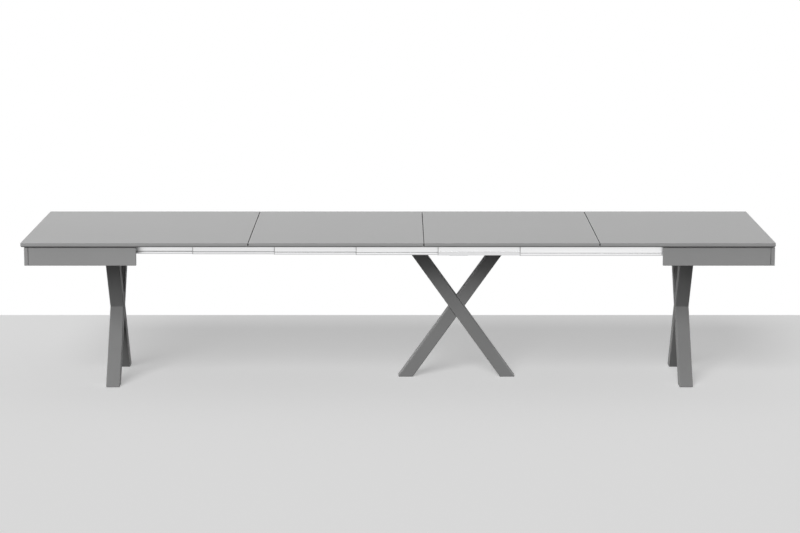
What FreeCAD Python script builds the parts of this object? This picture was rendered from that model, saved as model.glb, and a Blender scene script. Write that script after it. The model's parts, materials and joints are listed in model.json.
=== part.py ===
import FreeCAD
import Part
import math
import os

# Extending table with loose leaves, drawn fully extended with every leaf in place.
# X runs along the table, -Y faces the viewer, Z is up, and the origin is on the floor
# under the middle of the extended top. All sizes are in millimetres.

# Tabletop panels
TABLE_HEIGHT = 765.0
TOP_WIDTH = 1100.0
MAIN_TOP_LENGTH = 1100.0
LEAF_LENGTH = 850.0
LEAF_COUNT = 3
PANEL_THICKNESS = 21.0
SEAM_GAP = 2.0
SEAM_DEPTH = 12.0
SEAM_JOINT = 0.4
UPPER_EDGE_RADIUS = 1.0
LOWER_EDGE_RADIUS = 5.0
SEAM_EDGE_RADIUS = 1.2

# Apron boxes under the two ends
FIXED_END_OVERHANG = 15.0
FREE_END_OVERHANG = 1.0
SIDE_OVERHANG = 15.0
BOARD_THICKNESS = 19.0
BOARD_ARRIS = 0.8
END_CORNER_RADIUS = 3.0
JOINT_GROOVE_WIDTH = 1.4
JOINT_GROOVE_DEPTH = 2.5
APRON_HEIGHT = 88.0
SHADOW_GAP = 4.0
CLOSED_GAP = 1.0
CORNER_BLOCK_LEG = 60.0
CORNER_BLOCK_HEIGHT = 32.0
CORNER_BLOCK_NOSE = 6.0
CLEAT_SIZE = 20.0
CLEAT_END_ROOM = 20.0

# Telescopic runners, one stack along each side of the table
STAGE_COUNT = 6
RUNNER_PITCH = 12.0
RUNNER_GAP = 0.4
RUNNER_HEIGHT = 48.2
RUNNER_WALL = 2.0
RUNNER_WEB = 1.6
RUNNER_ARRIS = 0.4
RUNNER_CHAMFER = 4.0
RUNNER_TOP_CLEARANCE = 0.3
RUNNER_END_CLEARANCE = 23.0
FIXED_RUNNER_SET_BACK = 2.0
FIRST_TRAVEL = 369.0
LAST_TRAVEL = 191.0
GROOVE_HEIGHT = 13.0
GROOVE_OPENING = 5.0
GROOVE_WIDTH = 10.0
DEEP_HEAD_FOOT = 2.5
SLIDE_CLEARANCE = 0.3
CAP_LENGTH = 3.0

# Crossed legs, folded from steel tube
LEG_WIDTH = 68.0
LEG_DEPTH = 62.0
LEG_WALL = 2.0
LEG_CORNER_RADIUS = 4.0
FOOT_SPREAD = 519.0
CROSSING_HEIGHT = 362.0
PAD_HEIGHT = 4.0
PAD_INSET = 1.0
PAD_ARRIS = 2.5
NEST_CLEARANCE = 7.0

# Steel that carries the end legs
BEAM_WIDTH = 60.0
BEAM_DEPTH = 36.0
BEAM_WALL = 2.0
BEAM_CORNER_RADIUS = 4.0
BEAM_CLEARANCE = 2.5
BEAM_END_CLEARANCE = 1.5
HANGER_THICKNESS = 3.0
HANGER_SHELF = 40.0
HANGER_WIDTH = 50.0
HANGER_BEND_RADIUS = 1.0
LEG_PLATE_THICKNESS = 5.0

# Carrier that joins the middle leg to its runners
MIDDLE_STAGE = 4
TOP_BAR_THICKNESS = 10.0
TOP_BAR_CLEARANCE = 7.0
TOP_BAR_END = 4.0
CARRIER_WIDTH = 90.0
CARRIER_FLANGE = 5.0
CARRIER_NOSE = 1.5
CARRIER_NOSE_LENGTH = 60.0
CARRIER_LIP = 6.0
CARRIER_CLEARANCE = 2.0
CARRIER_FOOT = 6.0
CARRIER_WEB = 5.0
CARRIER_WEB_INSET = 12.0

# Bolts with nuts
BOLT_RADIUS = 4.0
BOLT_CLEARANCE = 0.3
BOLT_EDGE = 14.0
HEAD_ACROSS_FLATS = 13.0
HEAD_HEIGHT = 5.3
NUT_HEIGHT = 6.5

V = FreeCAD.Vector
os.makedirs("parts", exist_ok=True)

# Heights
panel_under = TABLE_HEIGHT - PANEL_THICKNESS
apron_top = panel_under - SHADOW_GAP
apron_bottom = apron_top - APRON_HEIGHT
runner_top = panel_under - RUNNER_TOP_CLEARANCE
runner_bottom = runner_top - RUNNER_HEIGHT
beam_top = runner_bottom - BEAM_CLEARANCE
beam_bottom = beam_top - BEAM_DEPTH
end_leg_top = beam_bottom - LEG_PLATE_THICKNESS
top_bar_top = beam_bottom - TOP_BAR_CLEARANCE
middle_leg_top = top_bar_top - TOP_BAR_THICKNESS

# Places along the table
top_length = MAIN_TOP_LENGTH + LEAF_COUNT * LEAF_LENGTH
left_end = -top_length / 2
right_end = top_length / 2
box_length = (MAIN_TOP_LENGTH - FIXED_END_OVERHANG - FREE_END_OVERHANG - CLOSED_GAP) / 2
left_box_outer = left_end + FIXED_END_OVERHANG
left_box_inner = left_box_outer + box_length
right_box_outer = right_end - FREE_END_OVERHANG
right_box_inner = right_box_outer - box_length
closed_plane = left_box_inner + CLOSED_GAP / 2
travel = right_box_inner - left_box_inner - CLOSED_GAP
stage_travel = (travel - FIRST_TRAVEL - LAST_TRAVEL) / (STAGE_COUNT - 1)
runner_length = 2 * (box_length - BOARD_THICKNESS - RUNNER_END_CLEARANCE) + CLOSED_GAP
runner_closed_left = left_box_outer + BOARD_THICKNESS + RUNNER_END_CLEARANCE

# Places across the table
apron_outer = TOP_WIDTH / 2 - SIDE_OVERHANG
apron_inner = apron_outer - BOARD_THICKNESS
runner_thickness = RUNNER_PITCH - RUNNER_GAP
stack_inner = apron_inner - runner_thickness - (STAGE_COUNT + 1) * RUNNER_PITCH
groove_depth = (runner_thickness - RUNNER_WEB) / 2

# The crossed legs: lean of the bars, and half a bar's width on a level cut
lean = math.atan2(FOOT_SPREAD / 2, CROSSING_HEIGHT)
arm_half = LEG_DEPTH / 2 / math.cos(lean)
leg_half = LEG_WIDTH / 2

# The middle leg passes through the gaps of the end legs when the table is closed,
# so the end legs stand far enough from the closing plane for both widths.
leg_inset = 2 * (leg_half + arm_half) + NEST_CLEARANCE - CLOSED_GAP / 2
left_leg_x = left_box_inner - leg_inset
right_leg_x = right_box_inner + leg_inset


def stage_shift(stage):
    """How far a stage, counted from 1, moves from closed to fully extended."""
    return FIRST_TRAVEL + (stage - 1) * stage_travel


middle_leg_x = closed_plane + stage_shift(MIDDLE_STAGE)


def runner_inner_face(place):
    """Inner face of a runner's place in the stack: 0 is fixed left, the last is fixed right."""
    return stack_inner + place * RUNNER_PITCH


def arm_centre(height):
    """Distance of a leg arm's middle from the leg's own middle, at a height."""
    return abs(height - CROSSING_HEIGHT) * math.tan(lean)


def write(node, *solids):
    """One node is one file: a single solid, or a group of separate ones."""
    shape = solids[0] if len(solids) == 1 else Part.makeCompound(list(solids))
    shape.exportStep("parts/" + node + ".step")


def box(x0, x1, y0, y1, z0, z1):
    return Part.makeBox(x1 - x0, y1 - y0, z1 - z0, V(x0, y0, z0))


def mirrored(solid):
    """The same piece on the other long side of the table."""
    return solid.mirror(V(0, 0, 0), V(0, 1, 0))


def prism(axis, start, end, corners):
    """Outline extruded along an axis; each corner is (u, v, radius) in the other two axes, in order."""
    place = {
        "X": lambda u, v: V(start, u, v),
        "Y": lambda u, v: V(u, start, v),
        "Z": lambda u, v: V(u, v, start),
    }[axis]
    along = {"X": V(1, 0, 0), "Y": V(0, 1, 0), "Z": V(0, 0, 1)}[axis]
    edges = []
    ends = []
    for index, (u, v, radius) in enumerate(corners):
        corner = place(u, v)
        if radius <= 0:
            ends.append((corner, corner))
            continue
        before = corners[index - 1]
        after = corners[(index + 1) % len(corners)]
        back = (place(before[0], before[1]) - corner).normalize()
        ahead = (place(after[0], after[1]) - corner).normalize()
        half_angle = back.getAngle(ahead) / 2
        tangent = radius / math.tan(half_angle)
        middle = corner + (back + ahead).normalize() * (radius / math.sin(half_angle) - radius)
        first = corner + back * tangent
        last = corner + ahead * tangent
        edges.append(Part.Arc(first, middle, last).toShape())
        ends.append((first, last))
    for index, (first, _) in enumerate(ends):
        previous_last = ends[index - 1][1]
        if previous_last.distanceToPoint(first) > 1e-6:
            edges.append(Part.LineSegment(previous_last, first).toShape())
    wire = Part.Wire(Part.__sortEdges__(edges))
    return Part.Face(wire).extrude(along * (end - start))


def rectangle(u0, u1, v0, v1, radius=0.0):
    return [(u0, v0, radius), (u1, v0, radius), (u1, v1, radius), (u0, v1, radius)]


def eased_rectangle(u0, u1, v0, v1, arris, chamfer=None):
    """Rectangle with each corner planed off straight, by the arris on both sides. The corner at
    (u1, v0) may have a larger chamfer."""
    chamfer = chamfer or arris
    return [
        (u0 + arris, v0, 0), (u1 - chamfer, v0, 0),
        (u1, v0 + chamfer, 0), (u1, v1 - arris, 0),
        (u1 - arris, v1, 0), (u0 + arris, v1, 0),
        (u0, v1 - arris, 0), (u0, v0 + arris, 0),
    ]


def panel(x0, x1, left_edge, right_edge):
    """Tabletop board: its long edges are eased, and each end is (lower radius, upper radius, lip),
    where the lip is how far the lower part of the end reaches past the upper part."""
    half = TOP_WIDTH / 2
    lower, upper = LOWER_EDGE_RADIUS, UPPER_EDGE_RADIUS
    across = [
        (-half, panel_under, lower),
        (half, panel_under, lower),
        (half, TABLE_HEIGHT, upper),
        (-half, TABLE_HEIGHT, upper),
    ]
    left_lower, left_upper, left_lip = left_edge
    right_lower, right_upper, right_lip = right_edge
    lip_top = TABLE_HEIGHT - SEAM_DEPTH
    along = [(x0, panel_under, left_lower), (x1, panel_under, right_lower)]
    if right_lip > 0:
        along += [(x1, lip_top, 0), (x1 - right_lip, lip_top, 0)]
    along += [(x1 - right_lip, TABLE_HEIGHT, right_upper), (x0 + left_lip, TABLE_HEIGHT, left_upper)]
    if left_lip > 0:
        along += [(x0 + left_lip, lip_top, 0), (x0, lip_top, 0)]
    return prism("X", x0, x1, across).common(prism("Y", -half, half, along))


def make_tabletop():
    """The main top stays on the left end; the leaves lie side by side on the runners. Between two
    boards an open seam runs from above down to their lips, which almost meet."""
    outer = (LOWER_EDGE_RADIUS, UPPER_EDGE_RADIUS, 0)
    seam = (SEAM_EDGE_RADIUS, SEAM_EDGE_RADIUS, (SEAM_GAP - SEAM_JOINT) / 2)
    seam_x = left_end + MAIN_TOP_LENGTH
    write("main_top", panel(left_end, seam_x - SEAM_JOINT / 2, outer, seam))
    for number in range(1, LEAF_COUNT + 1):
        start = seam_x + (number - 1) * LEAF_LENGTH + SEAM_JOINT / 2
        last = number == LEAF_COUNT
        end = right_end if last else start + LEAF_LENGTH - SEAM_JOINT
        write("leaf_%d" % number, panel(start, end, seam, outer if last else seam))


def make_apron_box(side, outer, inner, cleat_top):
    """Three boards, two corner blocks and a cleat; the side towards the other end is open.
    A fine groove on the outer face marks the joint of each side apron with the end board."""
    towards = 1 if inner > outer else -1
    end_inner = outer + towards * BOARD_THICKNESS
    end_board = prism("Z", apron_bottom, apron_top, [
        (outer, -apron_outer, END_CORNER_RADIUS),
        (end_inner, -apron_outer, 0),
        (end_inner, apron_outer, 0),
        (outer, apron_outer, END_CORNER_RADIUS),
    ])
    write(side + "_end_board", end_board)
    groove_edge = end_inner + towards * JOINT_GROOVE_WIDTH
    groove_floor = apron_outer - JOINT_GROOVE_DEPTH
    rear = prism("Z", apron_bottom, apron_top, [
        (end_inner, apron_inner, 0),
        (inner, apron_inner, 0),
        (inner, apron_outer - BOARD_ARRIS, 0),
        (inner - towards * BOARD_ARRIS, apron_outer, 0),
        (groove_edge, apron_outer, 0),
        (groove_edge, groove_floor, 0),
        (end_inner, groove_floor, 0),
    ])
    write(side + "_front_apron", mirrored(rear))
    write(side + "_rear_apron", rear)
    block_top = beam_top
    block = prism("Z", block_top - CORNER_BLOCK_HEIGHT, block_top, [
        (end_inner, apron_inner, 0),
        (end_inner + towards * CORNER_BLOCK_LEG, apron_inner, 0),
        (end_inner + towards * CORNER_BLOCK_LEG, apron_inner - CORNER_BLOCK_NOSE, 0),
        (end_inner + towards * CORNER_BLOCK_NOSE, apron_inner - CORNER_BLOCK_LEG, 0),
        (end_inner, apron_inner - CORNER_BLOCK_LEG, 0),
    ])
    write(side + "_corner_blocks", block, mirrored(block))
    low_x, high_x = sorted((end_inner, end_inner + towards * CLEAT_SIZE))
    reach = stack_inner - CLEAT_END_ROOM
    cleat = box(low_x, high_x, -reach, reach, cleat_top - CLEAT_SIZE, cleat_top)
    write(side + ("_top_cleat" if side == "left" else "_leaf_cleat"), cleat)


def level(height):
    """Height measured from a runner's lower edge, as a height above the floor."""
    return runner_bottom + height


def groove(x0, x1, face, inwards, foot):
    """T-slot cut from a face; inwards is the direction of the cut, foot its lowest level."""
    lip = sorted((face, face + inwards * RUNNER_WALL))
    deep = sorted((face + inwards * RUNNER_WALL, face + inwards * groove_depth))
    half = GROOVE_OPENING / 2
    mouth = box(x0, x1, lip[0], lip[1], level(GROOVE_HEIGHT - half), level(GROOVE_HEIGHT + half))
    top = level(GROOVE_HEIGHT + GROOVE_WIDTH / 2)
    return mouth.fuse(box(x0, x1, deep[0], deep[1], level(foot), top))


def tongue(x0, x1, face, outwards, foot):
    """T-shaped rib that rides in the next runner's groove with the slide clearance all round."""
    neck_end = face + outwards * (RUNNER_GAP + RUNNER_WALL + SLIDE_CLEARANCE)
    head_end = face + outwards * (RUNNER_GAP + groove_depth - SLIDE_CLEARANCE)
    half = GROOVE_OPENING / 2 - SLIDE_CLEARANCE
    neck_y = sorted((face, neck_end))
    head_y = sorted((neck_end, head_end))
    neck = box(x0, x1, neck_y[0], neck_y[1], level(GROOVE_HEIGHT - half), level(GROOVE_HEIGHT + half))
    top = level(GROOVE_HEIGHT + GROOVE_WIDTH / 2 - SLIDE_CLEARANCE)
    return neck.fuse(box(x0, x1, head_y[0], head_y[1], level(foot + SLIDE_CLEARANCE), top))


def runner_section(x0, x1, place, hollow):
    """Body of a runner on the rear side, with its grooves, its weight-saving chamber and a chamfer
    along its lower outer edge."""
    inner = runner_inner_face(place)
    outer = inner + runner_thickness
    outline = eased_rectangle(inner, outer, runner_bottom, runner_top, RUNNER_ARRIS, RUNNER_CHAMFER)
    body = prism("X", x0, x1, outline)
    groove_foot = GROOVE_HEIGHT - GROOVE_WIDTH / 2
    if place == STAGE_COUNT:
        body = body.cut(groove(x0, x1, inner, 1, DEEP_HEAD_FOOT - SLIDE_CLEARANCE))
    if place not in (STAGE_COUNT - 1, STAGE_COUNT + 1):
        body = body.cut(groove(x0, x1, outer, -1, groove_foot))
    if hollow:
        chamber_foot = GROOVE_HEIGHT + GROOVE_WIDTH / 2 + RUNNER_WALL
        body = body.cut(box(x0, x1, inner + RUNNER_WALL, outer - RUNNER_WALL,
                            level(chamber_foot), runner_top - RUNNER_WALL))
    return body


def runner(x0, x1, place):
    """Extruded runner: each hangs by its tongue in the groove of the runner inside it.
    The last moving runner but one turns the joint round: it has a second, deeper tongue
    on its outer face, and the runner outside it has a groove on both faces."""
    body = runner_section(x0, x1, place, True)
    inner = runner_inner_face(place)
    head_foot = GROOVE_HEIGHT - GROOVE_WIDTH / 2
    if place not in (0, STAGE_COUNT):
        body = body.fuse(tongue(x0, x1, inner, -1, head_foot))
    if place == STAGE_COUNT - 1:
        deep_foot = DEEP_HEAD_FOOT - SLIDE_CLEARANCE
        body = body.fuse(tongue(x0, x1, inner + runner_thickness, 1, deep_foot))
    return body.removeSplitter()


def make_runners():
    left = runner(left_box_outer + BOARD_THICKNESS, left_box_inner - FIXED_RUNNER_SET_BACK, 0)
    write("left_front_runner", mirrored(left))
    write("left_rear_runner", left)
    right = runner(right_box_inner + FIXED_RUNNER_SET_BACK, right_box_outer - BOARD_THICKNESS,
                   STAGE_COUNT + 1)
    write("right_front_runner", mirrored(right))
    write("right_rear_runner", right)
    for stage in range(1, STAGE_COUNT + 1):
        start = runner_closed_left + stage_shift(stage)
        end = start + runner_length
        profile = runner(start + CAP_LENGTH, end - CAP_LENGTH, stage)
        write("front_runner_%d" % stage, mirrored(profile))
        write("rear_runner_%d" % stage, profile)
        near_cap = runner_section(start, start + CAP_LENGTH, stage, False)
        far_cap = runner_section(end - CAP_LENGTH, end, stage, False)
        caps = [near_cap, far_cap, mirrored(near_cap), mirrored(far_cap)]
        write("runner_caps_%d" % stage, *caps)


def leg_tube(turn, bottom, top):
    """One leg bar through the crossing, leaning by turn degrees, cut level at both ends."""
    reach = 2 * (top - bottom)
    half = LEG_DEPTH / 2
    outer = prism("Z", -reach, reach, rectangle(-half, half, -leg_half, leg_half, LEG_CORNER_RADIUS))
    wall = LEG_WALL
    bore = box(wall - half, half - wall, wall - leg_half, leg_half - wall, -reach, reach)
    tube = outer.cut(bore)
    tube.rotate(V(0, 0, 0), V(0, 1, 0), turn)
    tube.translate(V(0, 0, CROSSING_HEIGHT))
    return tube.common(box(-reach, reach, -reach, reach, bottom, top))


def crossed_leg(top):
    """Through bar, upper half bar, lower half bar and two foot pads, in the XZ plane at X = 0."""
    turn = math.degrees(lean)
    through = leg_tube(-turn, PAD_HEIGHT, top)
    reach = 2 * top
    sleeve = box(-LEG_DEPTH / 2, LEG_DEPTH / 2, -reach, reach, -reach, reach)
    sleeve.rotate(V(0, 0, 0), V(0, 1, 0), -turn)
    sleeve.translate(V(0, 0, CROSSING_HEIGHT))
    halves = leg_tube(turn, PAD_HEIGHT, top).cut(sleeve).Solids
    lower, upper = sorted(halves, key=lambda solid: solid.CenterOfMass.z)
    pads = []
    for side in (-1, 1):
        middle = side * arm_centre(PAD_HEIGHT)
        reach_u = arm_half - PAD_INSET
        reach_v = leg_half - PAD_INSET
        outline = eased_rectangle(middle - reach_u, middle + reach_u, -reach_v, reach_v, PAD_ARRIS)
        pads.append(prism("Z", 0, PAD_HEIGHT, outline))
    return through, upper, lower, pads


def bolt(x, y, head_top, nut_seat):
    """Hexagon bolt from below with its nut, as one fastener; the plates lie between them."""
    corner = HEAD_ACROSS_FLATS / 2 / math.cos(math.pi / 6)
    hexagon = []
    for step in range(6):
        turn = step * math.pi / 3
        hexagon.append((x + corner * math.cos(turn), y + corner * math.sin(turn), 0))
    head = prism("Z", head_top - HEAD_HEIGHT, head_top, hexagon)
    nut = prism("Z", nut_seat, nut_seat + NUT_HEIGHT, hexagon)
    shank = Part.makeCylinder(BOLT_RADIUS, nut_seat - head_top, V(x, y, head_top))
    return head.fuse([shank, nut]).removeSplitter()


def bolt_hole(x, y, bottom, top):
    return Part.makeCylinder(BOLT_RADIUS + BOLT_CLEARANCE, top - bottom, V(x, y, bottom))


def make_end_leg(side, leg_x):
    """Crossed leg turned across the table, bolted by two plates to a beam between the aprons."""
    through, upper, lower, pads = crossed_leg(end_leg_top)
    for piece in [through, upper, lower] + pads:
        piece.rotate(V(0, 0, 0), V(0, 0, 1), 90)
        piece.translate(V(leg_x, 0, 0))
    write(side + "_leg_through_bar", through)
    write(side + "_leg_upper_bar", upper)
    write(side + "_leg_lower_bar", lower)
    write(side + "_leg_pads", *pads)

    half = BEAM_WIDTH / 2
    wall = BEAM_WALL
    reach = apron_inner - HANGER_THICKNESS - BEAM_END_CLEARANCE
    outline = rectangle(leg_x - half, leg_x + half, beam_bottom, beam_top, BEAM_CORNER_RADIUS)
    bore = box(leg_x - half + wall, leg_x + half - wall, -reach, reach, beam_bottom + wall, beam_top - wall)
    beam = prism("Y", -reach, reach, outline).cut(bore)
    plates = []
    bolts = []
    for sign in (-1, 1):
        middle = sign * arm_centre(end_leg_top)
        plate_reach = arm_half + 2 * BOLT_EDGE
        plate = box(leg_x - leg_half, leg_x + leg_half, middle - plate_reach, middle + plate_reach,
                    end_leg_top, beam_bottom)
        for step in (-1, 1):
            y = middle + step * (arm_half + BOLT_EDGE)
            hole = bolt_hole(leg_x, y, end_leg_top, beam_bottom + wall)
            plate = plate.cut(hole)
            beam = beam.cut(hole)
            bolts.append(bolt(leg_x, y, end_leg_top, beam_bottom + wall))
        plates.append(plate)
    write(side + "_leg_beam", beam)
    write(side + "_leg_plates", *plates)
    write(side + "_leg_bolts", *bolts)

    thick = HANGER_THICKNESS
    hanger = prism("X", leg_x - HANGER_WIDTH / 2, leg_x + HANGER_WIDTH / 2, [
        (apron_inner - HANGER_SHELF, beam_bottom - thick, 0),
        (apron_inner, beam_bottom - thick, HANGER_BEND_RADIUS + thick),
        (apron_inner, beam_top, 0),
        (apron_inner - thick, beam_top, 0),
        (apron_inner - thick, beam_bottom, HANGER_BEND_RADIUS),
        (apron_inner - HANGER_SHELF, beam_bottom, 0),
    ])
    write(side + "_beam_hangers", hanger, mirrored(hanger))


def make_runner_packers():
    """Strips that lift the fixed left runners off the left beam to the runners' level."""
    inner = runner_inner_face(0)
    half = BEAM_WIDTH / 2
    strip = box(left_leg_x - half, left_leg_x + half, inner, inner + runner_thickness,
                beam_top, runner_bottom)
    write("left_runner_packers", strip, mirrored(strip))


def make_middle_leg():
    """Crossed leg along the table under a flat top bar, low enough to pass under the end beams."""
    through, upper, lower, pads = crossed_leg(middle_leg_top)
    for piece in [through, upper, lower] + pads:
        piece.translate(V(middle_leg_x, 0, 0))
    write("middle_leg_through_bar", through)
    write("middle_leg_upper_bar", upper)
    write("middle_leg_lower_bar", lower)
    write("middle_leg_pads", *pads)

    carrier, bolts, holes = middle_carrier()
    reach = arm_centre(middle_leg_top) + arm_half + TOP_BAR_END
    bar = box(middle_leg_x - reach, middle_leg_x + reach, -leg_half, leg_half, middle_leg_top, top_bar_top)
    for hole in holes:
        bar = bar.cut(hole)
        carrier = carrier.cut(hole)
    write("middle_leg_top_bar", bar)
    write("middle_leg_carrier", carrier)
    write("middle_leg_bolts", *bolts)


def middle_carrier():
    """Tapered arm across the table: flange, two webs that deepen to the middle, a bolted foot
    and two lips that reach up to the runners of the middle stage and clear the others."""
    half = CARRIER_WIDTH / 2
    x0, x1 = middle_leg_x - half, middle_leg_x + half
    top = runner_bottom - CARRIER_CLEARANCE
    inner = runner_inner_face(MIDDLE_STAGE)
    end = inner + CARRIER_LIP
    under = top - CARRIER_FLANGE
    foot_top = top_bar_top + CARRIER_FOOT
    flange = prism("X", x0, x1, [
        (-end, top - CARRIER_NOSE, 0),
        (CARRIER_NOSE_LENGTH - end, under, 0),
        (end - CARRIER_NOSE_LENGTH, under, 0),
        (end, top - CARRIER_NOSE, 0),
        (end, top, 0),
        (-end, top, 0),
    ])
    web_outline = [
        (-leg_half, foot_top, 0),
        (leg_half, foot_top, 0),
        (end - CARRIER_NOSE_LENGTH, under, 0),
        (CARRIER_NOSE_LENGTH - end, under, 0),
    ]
    near_web = x0 + CARRIER_WEB_INSET
    far_web = x1 - CARRIER_WEB_INSET - CARRIER_WEB
    lip = box(x0, x1, inner, end, top, runner_bottom)
    pieces = [
        prism("X", near_web, near_web + CARRIER_WEB, web_outline),
        prism("X", far_web, far_web + CARRIER_WEB, web_outline),
        box(x0, x1, -leg_half, leg_half, top_bar_top, foot_top),
        lip,
        mirrored(lip),
    ]
    carrier = flange.fuse(pieces).removeSplitter()
    bolts = []
    holes = []
    for dx in (-1, 1):
        for dy in (-1, 1):
            x = middle_leg_x + dx * (half - CARRIER_WEB_INSET - CARRIER_WEB - BOLT_EDGE)
            y = dy * (leg_half - BOLT_EDGE)
            bolts.append(bolt(x, y, middle_leg_top, foot_top))
            holes.append(bolt_hole(x, y, middle_leg_top, foot_top))
    return carrier, bolts, holes


make_tabletop()
make_apron_box("left", left_box_outer, left_box_inner, panel_under)
make_apron_box("right", right_box_outer, right_box_inner, runner_top)
make_runners()
make_end_leg("left", left_leg_x)
make_end_leg("right", right_leg_x)
make_runner_packers()
make_middle_leg()

print("closing travel", travel, "stage travel", round(stage_travel, 3))
print("stage shifts", [round(stage_shift(stage), 3) for stage in range(1, STAGE_COUNT + 1)])
print("leg places", round(left_leg_x, 2), round(middle_leg_x, 2), round(right_leg_x, 2))
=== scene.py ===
# %% [markdown]
# # Dressing an extending table
# The table stands fully extended: a square main top and three loose leaves lie on telescopic
# aluminium runners, two board boxes close the ends, and three crossed steel legs carry it all.
# The construction is already there as a fixed frame of named nodes, in metres. This lesson puts
# the finishes on it and rebuilds the boards, legs and fasteners as smooth surfaces, because a
# construction mesh has bare, faceted edges and a product picture lives from its soft edges.

# %% Load the frame
import json
import math

import bpy
import numpy as np
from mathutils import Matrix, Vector

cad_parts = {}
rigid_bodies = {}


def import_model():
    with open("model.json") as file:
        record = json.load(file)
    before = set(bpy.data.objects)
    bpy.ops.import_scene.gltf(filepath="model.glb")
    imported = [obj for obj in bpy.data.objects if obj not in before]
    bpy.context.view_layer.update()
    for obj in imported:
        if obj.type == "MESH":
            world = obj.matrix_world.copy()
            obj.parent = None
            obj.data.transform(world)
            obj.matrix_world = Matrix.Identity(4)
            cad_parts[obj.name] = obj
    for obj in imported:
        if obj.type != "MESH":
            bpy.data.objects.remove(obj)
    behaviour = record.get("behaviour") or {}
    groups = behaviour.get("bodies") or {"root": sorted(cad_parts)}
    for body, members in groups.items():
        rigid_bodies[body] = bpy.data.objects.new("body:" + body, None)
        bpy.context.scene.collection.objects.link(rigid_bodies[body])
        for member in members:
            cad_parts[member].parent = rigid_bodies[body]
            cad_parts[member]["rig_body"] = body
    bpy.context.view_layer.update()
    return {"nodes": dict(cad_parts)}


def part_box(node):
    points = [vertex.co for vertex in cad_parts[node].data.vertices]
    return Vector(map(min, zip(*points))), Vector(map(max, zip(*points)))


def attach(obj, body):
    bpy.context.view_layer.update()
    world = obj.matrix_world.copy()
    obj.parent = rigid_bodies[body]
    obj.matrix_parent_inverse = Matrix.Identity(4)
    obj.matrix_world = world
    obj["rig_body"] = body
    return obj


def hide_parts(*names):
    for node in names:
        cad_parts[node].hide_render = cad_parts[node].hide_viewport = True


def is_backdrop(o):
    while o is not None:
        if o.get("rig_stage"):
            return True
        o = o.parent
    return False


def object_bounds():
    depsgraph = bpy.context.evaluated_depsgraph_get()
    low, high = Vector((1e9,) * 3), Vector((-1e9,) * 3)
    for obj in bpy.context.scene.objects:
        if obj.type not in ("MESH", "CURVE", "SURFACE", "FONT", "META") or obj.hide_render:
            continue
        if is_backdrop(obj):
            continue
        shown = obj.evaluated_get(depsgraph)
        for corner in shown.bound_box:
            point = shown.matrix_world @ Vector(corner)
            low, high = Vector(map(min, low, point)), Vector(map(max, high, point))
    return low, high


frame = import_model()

# %% [markdown]
# ## Surfaces from arrays
# A rounded solid could be a cube with a bevel modifier. Here each one is a stack of closed
# loops worked out in one go with numpy, because then the width of every edge is a plain number
# and each point also knows what it lies on. That value, an attribute named edge, is 1 on an arris,
# 0 on a flat and -1 on a face inside a seam. A finish can then look rubbed along the arrises and
# carry painted shade in a seam without guessing at the shape.

# %% Faces of a stack
MILLIMETRE = 0.001


def stacked(loops, closed_path=False):
    """Faces of a stack of loops, (rows, columns): quads between rows, and a lid on each end unless
    the path closes on itself. Loops run anticlockwise as seen from the last row."""
    rows, columns = loops
    index = np.arange(rows * columns).reshape(rows, columns)
    below = index if closed_path else index[:-1]
    above = np.roll(index, -1, axis=0) if closed_path else index[1:]
    quads = np.stack([below, np.roll(below, -1, 1), np.roll(above, -1, 1), above], axis=-1)
    faces = quads.reshape(-1, 4).tolist()
    if not closed_path:
        faces += [index[0, ::-1].tolist(), index[-1].tolist()]
    return faces


print("a stack of 2 loops of 4 points has", len(stacked((2, 4))), "faces, as a block has")

# %% [markdown]
# A piece of the table is more than a mesh: it rides on one of the frame's bodies, has a finish in a
# named slot, and stands in for the nodes that it replaces. One helper does this for all of them.

# %% From arrays to a piece
SMOOTH_ANGLE = math.radians(40)


def body_of(node):
    """The body that carries a node."""
    return frame["nodes"][node]["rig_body"]


def corners(node):
    """Lowest and highest corner of a node as arrays."""
    low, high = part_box(node)
    return np.array(low), np.array(high)


def piece(name, shells, material, body, stands_for=()):
    """One object from shells of (points, faces, edge), riding on a body in place of some nodes."""
    points = np.concatenate([shell[0].reshape(-1, 3) for shell in shells])
    edge = np.concatenate([np.broadcast_to(shell[2], shell[0].shape[:-1]).ravel() for shell in shells])
    faces = []
    start = 0
    for shell_points, shell_faces, _ in shells:
        faces += [[start + corner for corner in face] for face in shell_faces]
        start += shell_points.size // 3
    mesh = bpy.data.meshes.new(name)
    mesh.from_pydata(points, [], faces)
    mesh.attributes.new("edge", "FLOAT", "POINT").data.foreach_set("value", edge.astype(np.float32))
    mesh.shade_smooth()
    mesh.set_sharp_from_angle(angle=SMOOTH_ANGLE)
    mesh.materials.append(material)
    made = bpy.data.objects.new(name, mesh)
    bpy.context.scene.collection.objects.link(made)
    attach(made, body)
    if stands_for:
        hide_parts(*stands_for)
    return made


print("the main top rides on", body_of("main_top"))

# %% [markdown]
# ## A rounded loop
# Boards, tubes and pads share one outline, a rectangle with rounded corners. A curve object could
# draw it; a formula can also draw it in by an inset that differs from point to point, which is what
# eases an edge. A point on the flat beside each corner keeps the flats flat when they are shaded.

# %% Rounded loop
EDGE_MARGIN = 3 * MILLIMETRE
CORNER_STEPS = 6
DRAWN_SHARE = 0.98
SIGN_U = np.array([1, -1, -1, 1])[:, None]
SIGN_V = np.array([1, 1, -1, -1])[:, None]
CORNER_BLEND = np.concatenate([[0], np.linspace(0, 1, CORNER_STEPS), [1]])
CORNER_TURN = (np.arange(4)[:, None] + CORNER_BLEND) * math.pi / 2
CORNER_SLIDE = np.concatenate([[-1], np.zeros(CORNER_STEPS), [1]])
ON_CORNER = CORNER_SLIDE == 0
CORNER_EDGE = np.where(ON_CORNER, 0.5 + 0.5 * np.sin(CORNER_BLEND * math.pi), 0)


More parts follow.
